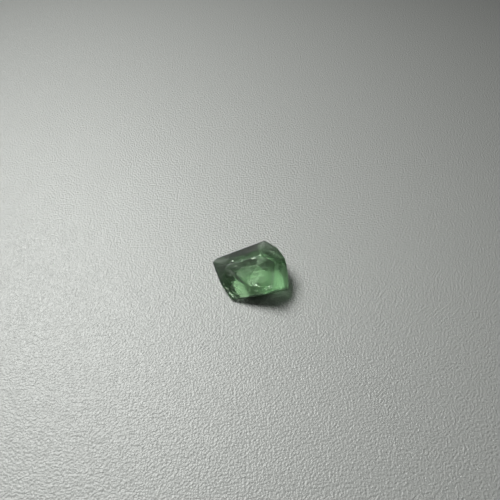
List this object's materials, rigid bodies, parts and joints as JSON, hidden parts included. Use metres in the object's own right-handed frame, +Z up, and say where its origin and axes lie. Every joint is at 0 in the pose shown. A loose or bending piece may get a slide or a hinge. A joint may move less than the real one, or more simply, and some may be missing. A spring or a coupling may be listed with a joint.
{
  "type": "raw calcite",
  "caption": "Raw chip of see-through grey-green crystal with flat cleavage faces, shell-shaped chips and cloudy veils inside, lying on its broadest face.",
  "frame": {"origin": "middle of the chip's box, on the flat face that it rests on", "axes": "+X along the longest extent, +Y towards the back of the chip as it is seen, +Z up, along the shortest extent"},
  "size_m": [0.022, 0.0182, 0.0106],
  "materials": {
    "calcite": "satin"
  },
  "bodies": {
    "root": {"raw_calcite": "calcite"}
  },
  "joints": []
}
